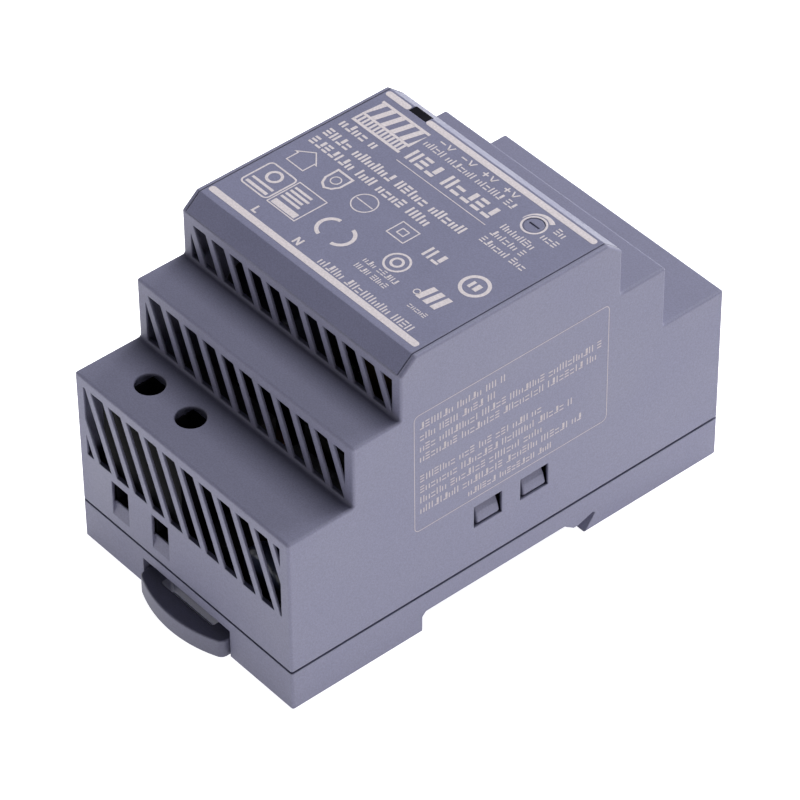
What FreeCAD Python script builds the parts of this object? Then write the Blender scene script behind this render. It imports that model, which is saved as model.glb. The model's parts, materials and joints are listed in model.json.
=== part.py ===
import FreeCAD, Part
import math
import os

V = FreeCAD.Vector

# DIN rail power supply, three modules wide, millimetres.
# Origin: centre of the rail seat. +X across the width, +Y from the mains end to the output end,
# +Z from the rail to the front panel.

# ---- housing ----
width = 52.5
length = 90.0
z_back = -2.5
z_front = 56.0
z_seam = 5.7
z_lower_step = 32.7
z_mid_step = 44.6
z_shoulder = 53.4
y_lower_step = 32.0
y_mid_step = 22.5
y_panel = 19.5
wall = 1.6
end_wall = 0.9
# the walls are thinner than this round openings, by pockets from the inside
vent_skin = 0.4
hole_skin = 0.7
window_skin = 0.4
edge_round = 0.45
seam_bevel = 0.1
seam_gap = (0.4, 0.8)
lip_play = 0.12

# ---- front panel ----
panel_rim = 0.8
panel_gap = 0.18
panel_skin = 1.6
led_window_x = (-19.3, -15.2)
led_window_y = 18.1
adjuster_xy = (15.0, 14.2)
adjuster_r = 1.7
# length, width and depth of its slot, and how far its face lies under the panel's
adjuster_slot = (2.2, 0.35, 0.2)
adjuster_sunk = 0.06

# ---- vents: each band is a framed field of slanted slots ----
vent_half_x = 24.2
vent_pitch = 4.5
vent_slot = 3.1
vent_slant = 0.40
vent_bands = (
    # face y, lowest z, highest z, x of the first slot's left edge at the top
    (length / 2, 16.5, 30.8, -31.35),
    (y_lower_step, 33.1, 42.7, -27.95),
    (y_mid_step, 45.0, 51.8, -28.05),
)

# ---- rail channel ----
z_channel = 1.5
y_channel_near = -18.5
y_channel_far = 11.6
y_bump = (13.6, 14.5)
hook_mouth = (16.0, z_back)
hook_root = (18.2, 0.6)
undercut_top = (17.7, 1.05)
seat_rib_x = (-20.0, 0.0, 20.0)
seat_rib_width = 1.4

# ---- snap fastening ----
snap_y = 4.85
snap_window = (5.9, 13.3, 17.8)
snap_arm_width = 4.6
snap_arm_thick = 1.4
snap_arm_play = 0.15
snap_arm_shift = 0.3

# ---- rail clip ----
clip_half_x = 10.6
clip_pocket_half_x = 10.9
z_clip_pocket = 3.3
z_clip = (-2.3, 1.2)
y_pry_slot = (-45.1, -42.75)
pry_slot_half_x = 6.5
tab_round = 1.4
clip_tongue = 1.2
z_tongue = (-0.7, 0.3)
y_clip_end = -18.1
jaw_reach = 1.9
z_jaw = -1.15
spring_r = 1.5
spring_wire = 0.4
spring_turns = 8
y_spring = (-35.4, -23.9)
z_spring = -0.55

# ---- terminals: y of the screws, and one row of poles at each end ----
y_screw = 37.9
input_pole_x = (-16.1, -5.95)
output_pole_x = tuple(-1.0 + 5.08 * (i - 1.5) for i in range(4))
# half width of the cage, cage wall, screw radius, head radius, access hole radius
input_pole = dict(half=2.8, wall=0.9, screw=1.5, head=2.1, hole=2.55, entry=2.1)
output_pole = dict(half=2.0, wall=0.7, screw=1.25, head=1.75, hole=1.9, entry=1.7)
z_entry = (7.7, 14.9)
z_entry_inner = 10.2
cage_half_y = 3.0
z_cage = (8.95, 9.95, 16.0, 18.2)
z_bar = (14.75, 15.6)
z_screw_tip = 15.7
z_head = (23.2, 25.2)
z_block_top = 30.9
y_block = (31.9, 43.9)
hole_bevel = 0.15

# ---- circuit boards ----
z_board = (6.6, 8.2)
# parts stand this little above the board
z_stand = z_board[1] + 0.03
board_half = (24.0, 43.0)
y_control = (17.7, 18.9)


def box(x, y, z):
    """Box from three (low, high) pairs."""
    return Part.makeBox(x[1] - x[0], y[1] - y[0], z[1] - z[0], V(x[0], y[0], z[0]))


def centred_box(cx, cy, dx, dy, z):
    return box((cx - dx / 2, cx + dx / 2), (cy - dy / 2, cy + dy / 2), z)


def cylinder(x, y, z, r):
    return Part.makeCylinder(r, z[1] - z[0], V(x, y, z[0]))


def cylinder_y(x, y, z, r):
    return Part.makeCylinder(r, y[1] - y[0], V(x, y[0], z), V(0, 1, 0))


def prism(points, along):
    """Closed polygon swept along a vector."""
    return Part.Face(Part.makePolygon(points + points[:1])).extrude(along)


def prism_x(yz, x):
    return prism([V(x[0], p[0], p[1]) for p in yz], V(x[1] - x[0], 0, 0))


def prism_y(xz, y):
    return prism([V(p[0], y[0], p[1]) for p in xz], V(0, y[1] - y[0], 0))


def join(shapes):
    shapes = list(shapes)
    return shapes[0].multiFuse(shapes[1:]).removeSplitter() if len(shapes) > 1 else shapes[0]


def cut(shape, tools):
    return shape.cut(Part.makeCompound(list(tools)))


def flip_x(shape):
    return shape.mirror(V(0, 0, 0), V(1, 0, 0))


def flip_y(shape):
    return shape.mirror(V(0, 0, 0), V(0, 1, 0))


def both(shape, flip):
    return [shape, flip(shape)]


def round_edges(shape, radius, chosen):
    """Round the straight edges that the test picks."""
    return shape.makeFillet(radius, [e for e in shape.Edges if chosen(e)])


def upright(edge):
    a = edge.Vertexes[0].Point
    b = edge.Vertexes[-1].Point
    return abs(a.x - b.x) + abs(a.y - b.y) < 1e-6 and abs(a.z - b.z) > 1e-3


def save(name, shape):
    """Write one node, as one solid or a group of separate solids."""
    solids = shape.Solids
    assert solids and all(s.isValid() and s.Volume > 0 for s in solids), name
    shape = solids[0] if len(solids) == 1 else Part.makeCompound(solids)
    shape.exportStep("parts/%s.step" % name)
    print("%-24s %d solid(s) %9.1f mm3" % (name, len(solids), shape.Volume))


def mirrored_profile(half):
    """A YZ outline given on the -Y side, completed on the +Y side."""
    return half + [(-y, z) for y, z in reversed(half)]


# ================= casing =================

def stepped_profile(end_inset, top_inset, z_low, z_high):
    """The stepped outline, its upright faces and its tops moved inwards."""
    y_end = length / 2 - end_inset
    y_low = y_lower_step - end_inset
    y_mid = y_mid_step - end_inset
    return mirrored_profile([
        (-y_end, z_low),
        (-y_end, z_lower_step - top_inset),
        (-y_low, z_lower_step - top_inset),
        (-y_low, z_mid_step - top_inset),
        (-y_mid, z_mid_step - top_inset),
        (-y_mid, z_high),
    ])


def panel_profile(inset):
    """Outline of the front panel: flat top between two long chamfers, open below."""
    run = y_mid_step - y_panel
    rise = z_front - z_shoulder
    slope = math.hypot(run, rise)
    y_low = y_mid_step - inset * slope / rise
    y_high = y_low - (rise - inset) * run / rise
    return mirrored_profile([(-y_low, z_shoulder), (-y_high, z_front - inset)])


def vent_slots(face_y, z_low, z_high, x_first):
    """Slanted slots through the wall at y = -face_y, trimmed to their rectangular field."""
    y = (-face_y - 0.5, -face_y + end_wall + 0.5)
    drop = (z_high - z_low) * vent_slant
    field = box((-vent_half_x, vent_half_x), y, (z_low, z_high))
    slots = []
    for i in range(15):
        x = x_first + i * vent_pitch
        slot = prism_y([(x, z_high), (x + vent_slot, z_high), (x + vent_slot + drop, z_low),
                        (x + drop, z_low)], y).common(field)
        slots += [s for s in slot.Solids if s.Volume > 1.0]
    return slots


def vent_pocket(face_y, z_low, z_high):
    """Recess on the inside of a vent field that leaves only a thin skin."""
    half_x = width / 2 - wall - 0.1
    y = (-face_y + vent_skin, -face_y + end_wall + 0.1)
    return box((-half_x, half_x), y, (z_low - 0.3, z_high + 0.2))


def wire_entry(x, pole):
    """Rectangular wire hole in the end wall, with a floor that rises inwards."""
    y_out = -length / 2
    y_in = y_out + end_wall
    hole = prism_x([(y_out - 1, z_entry[0]), (y_out, z_entry[0]), (y_in, z_entry_inner),
                    (y_in + 1, z_entry_inner), (y_in + 1, z_entry[1]), (y_out - 1, z_entry[1])],
                   (x - pole["entry"], x + pole["entry"]))
    inside = centred_box(x, y_in - end_wall / 2 + vent_skin, 2 * pole["entry"] + 1.0, end_wall,
                         (z_entry_inner, z_entry[1] + 0.5))
    return hole.fuse(inside)


def screw_hole(x, pole):
    """Round hole in the lower step over a terminal screw, with a small bevel at its rim."""
    rim = Part.makeCone(pole["hole"], pole["hole"] + 2 * hole_bevel, 2 * hole_bevel,
                        V(x, -y_screw, z_lower_step - hole_bevel))
    hole = cylinder(x, -y_screw, (z_lower_step - wall - 1, z_lower_step + 1), pole["hole"])
    side = min(2 * pole["hole"] + 1.2, 5.0)
    inside = centred_box(x, -y_screw, side, side, (z_lower_step - wall - 0.1, z_lower_step - hole_skin))
    return hole.fuse([rim, inside])


def end_openings(poles, pole):
    """Wire holes and screw holes of the -Y end."""
    return [wire_entry(x, pole) for x in poles] + [screw_hole(x, pole) for x in poles]


def upper_housing():
    half_x = width / 2
    outer = prism_x(stepped_profile(0, 0, z_seam, z_shoulder), (-half_x, half_x))
    crown = prism_x(panel_profile(0), (-half_x, half_x))
    outer = join([outer, crown])
    outer = round_edges(outer, edge_round, lambda e: min(v.Z for v in e.Vertexes) > z_seam + 0.1
                        or upright(e))
    bottom_rim = [e for e in outer.Edges if max(v.Z for v in e.Vertexes) < z_seam + 0.01]
    outer = outer.makeChamfer(seam_bevel, bottom_rim)
    inside = stepped_profile(end_wall, wall, z_seam - 1, z_front + 1)
    cavity = prism_x(inside, (-half_x + wall, half_x - wall))
    seat = prism_x(panel_profile(0)[:1] + [(-y_mid_step, z_front + 1), (y_mid_step, z_front + 1)]
                   + panel_profile(0)[-1:], (-half_x + panel_rim, half_x - panel_rim))
    shell = cut(outer, [cavity, seat])
    holes = end_openings(input_pole_x, input_pole)
    holes += [flip_y(h) for h in end_openings(output_pole_x, output_pole)]
    for band in vent_bands:
        for slot in vent_slots(*band) + [vent_pocket(*band[:3])]:
            holes += both(slot, flip_y)
    for y in (-snap_y, snap_y):
        window = box((half_x - wall - 0.5, half_x + 0.5),
                     (y - snap_window[0] / 2, y + snap_window[0] / 2), snap_window[1:])
        relief = box((half_x - wall - 0.1, half_x - window_skin),
                     (y - snap_window[0] / 2 - 0.8, y + snap_window[0] / 2 + 0.8),
                     (snap_window[1] - 0.8, snap_window[2] + 0.8))
        holes += both(window.fuse(relief), flip_x)
    return cut(shell, holes)


def front_panel():
    half_x = width / 2 - panel_rim - panel_gap
    plate = prism_x(panel_profile(0), (-half_x, half_x))
    hollow = prism_x(panel_profile(panel_skin), (-half_x + panel_skin, half_x - panel_skin))
    below = prism_x(mirrored_profile([(panel_profile(panel_skin)[0][0], z_shoulder - 1),
                                      panel_profile(panel_skin)[0]]),
                    (-half_x + panel_skin, half_x - panel_skin))
    skirt_x = width / 2 - wall - 0.15
    skirt_y = y_mid_step - wall - 0.15
    skirt = box((-skirt_x, skirt_x), (-skirt_y, skirt_y), (z_shoulder - 1.4, z_shoulder + 0.4))
    skirt_hole = box((-skirt_x + 0.8, skirt_x - 0.8), (-skirt_y + 0.8, skirt_y - 0.8),
                     (z_shoulder - 2, z_shoulder + 0.4))
    plate = join([cut(plate, [hollow, below]), skirt.cut(skirt_hole)])
    light_gap = box(led_window_x, (led_window_y, y_panel + 0.35), (z_shoulder + 0.3, z_front + 1))
    adjuster_hole = cylinder(*adjuster_xy, (z_shoulder, z_front + 1), adjuster_r + 0.06)
    return cut(plate, [light_gap, adjuster_hole])


def channel_outline():
    """YZ outline of the free space under the base: rail channel, bump and hooked undercut."""
    return [
        (y_channel_near, z_back - 1),
        (y_channel_near, z_channel - 0.8),
        (y_channel_near + 0.8, z_channel),
        (y_channel_far, z_channel),
        (y_bump[0], 0.0),
        (y_bump[1], 0.0),
        undercut_top,
        hook_root,
        hook_mouth,
        (hook_mouth[0], z_back - 1),
    ]


def base_housing():
    half_x = width / 2
    half_y = length / 2
    block = box((-half_x, half_x), (-half_y, half_y), (z_back, z_seam))
    block = round_edges(block, edge_round, upright)
    # shadow groove that shows all round under the upper housing
    inner = (half_x - seam_gap[1], half_y - seam_gap[1])
    z_groove = (z_seam - seam_gap[0], z_seam + 1)
    groove = box((-half_x - 1, half_x + 1), (-half_y - 1, half_y + 1), z_groove)
    block = block.cut(groove.cut(box((-inner[0], inner[0]), (-inner[1], inner[1]), z_groove)))
    low_rim = [e for e in block.Edges if max(v.Z for v in e.Vertexes) < z_back + 0.01]
    block = block.makeFillet(0.3, low_rim)
    block = block.cut(prism_x(channel_outline(), (-half_x - 1, half_x + 1)))
    # hollows that open upwards: over the channel, in the two feet
    inner_x = half_x - wall
    inner_y = half_y - wall
    hollows = [
        box((-inner_x, inner_x), (-inner_y, inner_y), (z_clip_pocket + 1.3, z_seam + 1)),
        box((-inner_x, inner_x), (y_channel_near - wall + 3.5, y_channel_far - 1.0),
            (z_channel + 1.5, z_seam + 1)),
        box((-inner_x, inner_x), (hook_root[0] + 2.0, inner_y), (z_back + wall, z_seam + 1)),
    ]
    cheek_x = clip_pocket_half_x + clip_tongue + 1.8
    hollows += both(box((cheek_x, inner_x), (-inner_y, y_channel_near - 1.8),
                        (z_back + wall, z_seam + 1)), flip_x)
    base = cut(block, hollows)
    # clip pocket, open below, through the end wall and into the channel
    pocket = box((-clip_pocket_half_x, clip_pocket_half_x), (-half_y - 1, y_channel_near + 1),
                 (z_back - 1, z_clip_pocket))
    grooves = both(box((clip_pocket_half_x - 0.5, clip_pocket_half_x + clip_tongue + 0.1),
                       (-41.5, y_channel_near + 1), (z_tongue[0] - 0.12, z_tongue[1] + 0.12)), flip_x)
    base = cut(base, [pocket] + grooves)
    additions = []
    # bearing ribs that the rail lies against
    for x in seat_rib_x:
        y_start = y_channel_near - 0.5 if x else y_channel_near + 2.6
        additions.append(box((x - seat_rib_width / 2, x + seat_rib_width / 2),
                             (y_start, y_bump[0] + 0.1), (0.0, z_channel + 0.2)))
    # spring post with a nose that holds the spring
    additions.append(box((-1.9, 1.9), (-37.3, y_spring[0] - 0.1), (z_clip[0] + 0.3, z_clip_pocket + 0.2)))
    additions.append(cylinder_y(0, (y_spring[0] - 0.3, y_spring[0] + 1.6), z_spring, 0.85))
    # lip inside the upper housing
    lip_x = inner_x - lip_play
    lip_y = half_y - end_wall - lip_play
    lip = box((-lip_x, lip_x), (-lip_y, lip_y), (z_seam - 1.2, z_seam + 0.8))
    additions.append(lip.cut(box((-lip_x + 1, lip_x - 1), (-lip_y + 1, lip_y - 1),
                                 (z_seam - 2, z_seam + 2))))
    # corner posts under the main board
    for x in (-21.6, 21.6):
        for y in (-40.6, 40.6):
            z_floor = z_back + wall - 0.1
            additions.append(centred_box(x, y, 3.0, 3.0, (z_floor, z_board[0] - 0.05)))
    # snap arms with wedge barbs that show in the side windows
    arm_x = inner_x - snap_arm_play
    z_barb = snap_window[1] + 0.12
    z_tip = snap_window[2] - 0.5
    for y in (-snap_y, snap_y):
        middle = y + snap_arm_shift
        span = (middle - snap_arm_width / 2, middle + snap_arm_width / 2)
        arm = box((arm_x - snap_arm_thick, arm_x), span, (z_channel + 1.0, z_tip + 0.1))
        barb = prism_y([(arm_x - 0.2, z_barb), (arm_x + 1.3, z_barb), (arm_x + 1.55, z_barb + 0.5),
                        (arm_x + 1.1, z_barb + 2.0), (arm_x + 0.05, z_tip), (arm_x - 0.2, z_tip)], span)
        barb = round_edges(barb, 0.3, lambda e: min(v.X for v in e.Vertexes) > arm_x + 0.01
                           and abs(e.Vertexes[0].Y - e.Vertexes[-1].Y) < 1e-6)
        additions += both(join([arm, barb]), flip_x)
    return join([base] + additions)


def insulation_sheet():
    return box((-19.4, 19.4), (-41.0, 41.0), (z_clip_pocket + 1.6, z_clip_pocket + 1.85))


def led_window():
    x = (led_window_x[0] + 0.04, led_window_x[1] - 0.04)
    y = (led_window_y + 0.04, y_panel + 0.31)
    top = box(x, y, (z_front - 1.9, z_front - 0.12))
    stem = centred_box(sum(x) / 2, sum(y) / 2, 2.6, 1.3, (z_shoulder - 0.4, z_front - 1.8))
    return join([top, stem])


# ================= rail clip =================

def rail_clip():
    y_tab = -length / 2 + 0.6
    y_back = -length / 2 - 1.2
    y_nose = -length / 2 - 3.6
    body = box((-clip_half_x, clip_half_x), (y_tab - 0.1, y_clip_end), z_clip)
    # bowed pull tab: a flat segment with an arc for its front
    left = V(-clip_half_x + 0.2, y_back, z_clip[0])
    right = V(clip_half_x - 0.2, y_back, z_clip[0])
    front = Part.Arc(left, V(0, y_nose, z_clip[0]), right).toShape()
    sides = Part.makePolygon([right, V(right.x, y_tab, z_clip[0]), V(left.x, y_tab, z_clip[0]), left])
    tab = Part.Face(Part.Wire(front.Edges + sides.Edges)).extrude(V(0, 0, z_clip[1] - z_clip[0]))
    tab = round_edges(tab, tab_round, lambda e: upright(e) and e.Vertexes[0].Y < y_back + 0.01)
    tab = round_edges(tab, 0.3, lambda e: min(v.Z for v in e.Vertexes) > z_clip[1] - 0.01
                      and min(v.Y for v in e.Vertexes) < y_back + tab_round + 0.1
                      and max(v.Y for v in e.Vertexes) < y_tab - 0.01)
    # jaw under the rail flange, with a sloping lead-in
    jaw = prism_x([(y_clip_end - 0.1, z_clip[0]), (y_clip_end + 0.4, z_clip[0]),
                   (y_clip_end + jaw_reach, z_jaw - 0.35), (y_clip_end + jaw_reach, z_jaw),
                   (y_clip_end - 0.1, z_jaw)], (-clip_half_x + 1.0, clip_half_x - 1.0))
    tongues = both(box((clip_half_x - 0.2, clip_half_x + clip_tongue), (-36.5, y_clip_end - 0.5),
                       z_tongue), flip_x)
    spring_nose = cylinder_y(0, (y_spring[1] - 1.4, y_spring[1] + 0.4), z_spring, 0.85)
    window = box((-2.3, 2.3), (-37.6, y_spring[1] + 0.1), (z_clip[0] - 1, z_clip[1] + 1))
    pry_slot = box((-pry_slot_half_x, pry_slot_half_x), y_pry_slot, (z_clip[0] - 1, z_clip[1] + 1))
    pry_slot = round_edges(pry_slot, 0.5, upright)
    body = cut(join([body, tab, jaw] + tongues), [window, pry_slot])
    return join([body, spring_nose])


def clip_spring():
    """Compression spring lying along Y between the base's post and the clip."""
    mean_r = spring_r - spring_wire / 2
    y_start = y_spring[0] + spring_wire / 2 + 0.02
    y_end = y_spring[1] - spring_wire / 2 - 0.02
    pitch = (y_end - y_start) / spring_turns
    helix = Part.makeHelix(pitch, pitch * spring_turns, mean_r)
    section = Part.Wire(Part.makeCircle(spring_wire / 2, V(mean_r, 0, 0), V(0, 1, 0)))
    coil = Part.Wire(helix.Edges).makePipeShell([section], True, True)
    coil.rotate(V(0, 0, 0), V(1, 0, 0), -90)
    coil.translate(V(0, y_start, z_spring))
    return coil


# ================= terminals =================

def cage(x, pole):
    """Rising clamp: a box frame open along Y, whose thick top is the nut."""
    half = pole["half"]
    y = (-y_screw - cage_half_y, -y_screw + cage_half_y)
    frame = box((x - half, x + half), y, (z_cage[0], z_cage[3]))
    frame = round_edges(frame, 0.4, upright)
    inner = box((x - half + pole["wall"], x + half - pole["wall"]), (y[0] - 1, y[1] + 1),
                (z_cage[1], z_cage[2]))
    thread = cylinder(x, -y_screw, (z_cage[2] - 0.5, z_cage[3] + 0.5), pole["screw"] + 0.05)
    return cut(frame, [inner, thread])


def terminal_screw(x, pole):
    """Captive clamp screw with a combined slot and cross in its head."""
    shank = cylinder(x, -y_screw, (z_screw_tip, z_head[0] + 0.1), pole["screw"])
    head = cylinder(x, -y_screw, z_head, pole["head"])
    top_edge = [e for e in head.Edges if min(v.Z for v in e.Vertexes) > z_head[1] - 0.01]
    head = head.makeFillet(0.35, top_edge)
    slot = centred_box(x, -y_screw, 2 * pole["head"] + 1, 0.7, (z_head[1] - 0.9, z_head[1] + 1))
    cross = centred_box(x, -y_screw, 0.7, 1.3 * pole["head"], (z_head[1] - 0.9, z_head[1] + 1))
    return cut(join([shank, head]), [slot, cross])


def terminal_block(poles, pole, margin):
    """Moulded block with, for each pole, a cage chamber, a wire entry and a screw well."""
    half = pole["half"]
    body = box((poles[0] - half - margin, poles[-1] + half + margin), (-y_block[1], -y_block[0]),
               (z_board[1] + 0.02, z_block_top))
    spaces = []
    for x in poles:
        chamber_y = (-y_screw - cage_half_y - 0.25, -y_screw + cage_half_y + 0.25)
        spaces.append(box((x - half - 0.15, x + half + 0.15), chamber_y, (z_cage[0] - 0.15, 22.1)))
        spaces.append(box((x - pole["entry"], x + pole["entry"]), (-y_block[1] - 1, -y_screw),
                          (z_entry_inner, z_entry[1])))
        spaces.append(cylinder(x, -y_screw, (21, z_head[0]), pole["screw"] + 0.15))
        well = 2 * pole["head"] + 0.6
        spaces.append(centred_box(x, -y_screw, well, well, (z_head[0] - 0.05, z_block_top + 1)))
        bar_half = half - pole["wall"] - 0.1
        spaces.append(box((x - bar_half, x + bar_half), (-y_screw, -y_block[0] + 1),
                          (z_bar[0] - 0.05, z_bar[1] + 0.05)))
    return cut(body, spaces)


def contact_bar(x, pole):
    """Fixed conductor: lies inside the cage and turns down to the main board."""
    half = pole["half"] - pole["wall"] - 0.15
    bar = box((x - half, x + half), (-y_screw - 2.7, -y_block[0] + 0.9), z_bar)
    leg = box((x - half, x + half), (-y_block[0] + 0.1, -y_block[0] + 0.9), (z_board[1] + 0.02, z_bar[1]))
    return join([bar, leg])


def write_terminals():
    save("input_terminal_block", terminal_block(input_pole_x, input_pole, 1.8))
    save("input_contact_bars", Part.makeCompound([contact_bar(x, input_pole) for x in input_pole_x]))
    for name, x in zip(("live", "neutral"), input_pole_x):
        save("input_screw_" + name, terminal_screw(x, input_pole))
        save("input_cage_" + name, cage(x, input_pole))
    save("output_terminal_block", flip_y(terminal_block(output_pole_x, output_pole, 1.2)))
    bars = [flip_y(contact_bar(x, output_pole)) for x in output_pole_x]
    save("output_contact_bars", Part.makeCompound(bars))
    for i, x in enumerate(output_pole_x):
        save("output_screw_%d" % (i + 1), flip_y(terminal_screw(x, output_pole)))
        save("output_cage_%d" % (i + 1), flip_y(cage(x, output_pole)))


# ================= circuit boards and the trimmer =================

def main_circuit_board():
    board = box((-board_half[0], board_half[0]), (-board_half[1], board_half[1]), z_board)
    board = round_edges(board, 1.0, upright)
    notches = []
    for y in (-snap_y, snap_y):
        notch = box((22.6, 25.0), (y - 2.8, y + 2.8), (z_board[0] - 1, z_board[1] + 1))
        notches += both(notch, flip_x)
    return cut(board, notches)


def control_circuit_board():
    board = box((-20.5, 20.0), y_control, (z_board[1] + 0.02, 47.4))
    return round_edges(board, 1.0, lambda e: abs(e.Vertexes[0].Y - e.Vertexes[-1].Y) > 1.0)


def status_led():
    x = sum(led_window_x) / 2
    y = 18.6
    body = cylinder(x, y, (49.4, 51.2), 1.5)
    dome = Part.makeSphere(1.5, V(x, y, 51.2)).common(cylinder(x, y, (51.2, 53), 2))
    rim = cylinder(x, y, (49.0, 49.6), 1.85)
    leads = [cylinder(x + s, y - 0.3, (47.42, 49.2), 0.25) for s in (-0.8, 0.8)]
    return join([body, dome, rim] + leads)


def trimmer_body():
    x, y = adjuster_xy
    body = centred_box(x, y, 6.8, 6.8, (48.0, 53.0))
    body = round_edges(body, 0.4, upright)
    pins = [box((x + s - 0.4, x + s + 0.4), (y + 2.6, y + 3.2), (45.0, 48.1)) for s in (-2.2, 0.0, 2.2)]
    well = cylinder(x, y, (49.5, 54), 1.05)
    return join([body] + pins).cut(well)


def voltage_adjuster():
    x, y = adjuster_xy
    shaft = cylinder(x, y, (49.6, 53.2), 1.0)
    knob = cylinder(x, y, (53.1, z_front - adjuster_sunk), adjuster_r)
    z_face = z_front - adjuster_sunk
    slot = centred_box(x, y, adjuster_slot[0], adjuster_slot[1], (z_face - adjuster_slot[2], z_front + 1))
    return join([shaft, knob]).cut(slot)


# ================= electronic parts on the main board =================

def on_board(height):
    """z range of a part that stands on the main board."""
    return (z_stand, z_stand + height)


def rounded_block(cx, cy, dx, dy, z, radius):
    return round_edges(centred_box(cx, cy, dx, dy, z), radius, upright)


def disc_part(x, y, radius, thick):
    """Coated disc standing on edge on two legs."""
    z = z_board[1] + 2.0 + radius
    disc = cylinder_y(x, (y - thick / 2, y + thick / 2), z, radius)
    legs = [cylinder(x + s, y, (z_stand, z), 0.4) for s in (-radius / 2, radius / 2)]
    return join([disc.makeFillet(thick / 3, disc.Edges)] + legs)


def radial_capacitor(x, y, radius, height):
    """Aluminium can with a rolled groove near its foot and a scored top."""
    z = on_board(height)
    can = cylinder(x, y, z, radius)
    can = can.makeFillet(0.8, [e for e in can.Edges if min(v.Z for v in e.Vertexes) > z[1] - 0.01])
    groove = Part.makeTorus(radius + 0.25, 0.6, V(x, y, z[0] + 2.2))
    score = [centred_box(x, y, radius * 1.1, 0.3, (z[1] - 0.15, z[1] + 1)),
             centred_box(x, y, 0.3, radius * 1.1, (z[1] - 0.15, z[1] + 1))]
    return cut(can, [groove] + score)


def choke():
    """Common mode choke: a frame core on its side and two windings on its legs."""
    cx, cy = -11.5, -26.8
    z = on_board(19.0)
    core = centred_box(cx, cy, 19.0, 5.0, z)
    core = core.cut(centred_box(cx, cy, 10.0, 7.0, (z[0] + 4.0, z[1] - 4.0)))
    windings = []
    for s in (-1, 1):
        x = cx + s * 7.25
        coil = rounded_block(x, cy, 8.0, 7.9, (z[0] + 4.2, z[1] - 4.2), 1.8)
        windings.append(coil.cut(centred_box(x, cy, 4.7, 5.2, z)))
    return core, Part.makeCompound(windings)


def transformer():
    """Ferrite core round a bobbin that carries the winding."""
    cx, cy = 2.0, 5.4
    z0 = z_stand
    core = centred_box(cx, cy, 26.0, 9.0, (z0, z0 + 26.0))
    for s in (-1, 1):
        core = core.cut(centred_box(cx + s * 6.75, cy, 5.0, 12.0, (z0 + 4.2, z0 + 21.8)))
    leg_hole = centred_box(cx, cy, 8.7, 9.2, (z0, z0 + 30))
    flanges = [centred_box(cx, cy, 18.2, 19.0, (z0 + 4.35, z0 + 5.35)),
               centred_box(cx, cy, 18.2, 19.0, (z0 + 20.65, z0 + 21.65))]
    tube = centred_box(cx, cy, 10.3, 10.8, (z0 + 4.35, z0 + 21.65))
    rails = [centred_box(cx, cy + s * 7.2, 18.2, 4.4, (z0, z0 + 4.5)) for s in (-1, 1)]
    bobbin = join(flanges + [tube] + rails).cut(leg_hole)
    winding = rounded_block(cx, cy, 17.9, 18.2, (z0 + 5.4, z0 + 20.6), 2.5)
    winding = winding.cut(centred_box(cx, cy, 10.4, 10.9, (z0, z0 + 30)))
    return core, bobbin, winding


def heatsink(x, y, z, fin_axis_x):
    """Upright plate with a folded foot and a row of shallow fins."""
    plate = box(x, y, z)
    fins = []
    if fin_axis_x:
        for i in range(5):
            fins.append(box((x[0] + 1.2 + i * 4.4, x[0] + 2.0 + i * 4.4), (y[0] - 0.9, y[0] + 0.1),
                            (z[0] + 22, z[1] - 1)))
    else:
        for i in range(5):
            fins.append(box((x[1] - 0.1, x[1] + 0.9), (y[0] + 1.5 + i * 5.0, y[0] + 2.3 + i * 5.0),
                            (z[0] + 12, z[1] - 1)))
    return join([plate] + fins)


def power_package(dx, dy, z):
    """Flat power package with three legs, given as boxes in x and y."""
    cx, cy = sum(dx) / 2, sum(dy) / 2
    body = box(dx, dy, z)
    wide_x = dx[1] - dx[0] > dy[1] - dy[0]
    legs = []
    for s in (-2.54, 0, 2.54):
        x, y = (cx + s, cy) if wide_x else (cx, cy + s)
        legs.append(centred_box(x, y, 0.8, 0.8, (z_stand, z[0] + 0.1)))
    return join([body] + legs)


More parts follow.
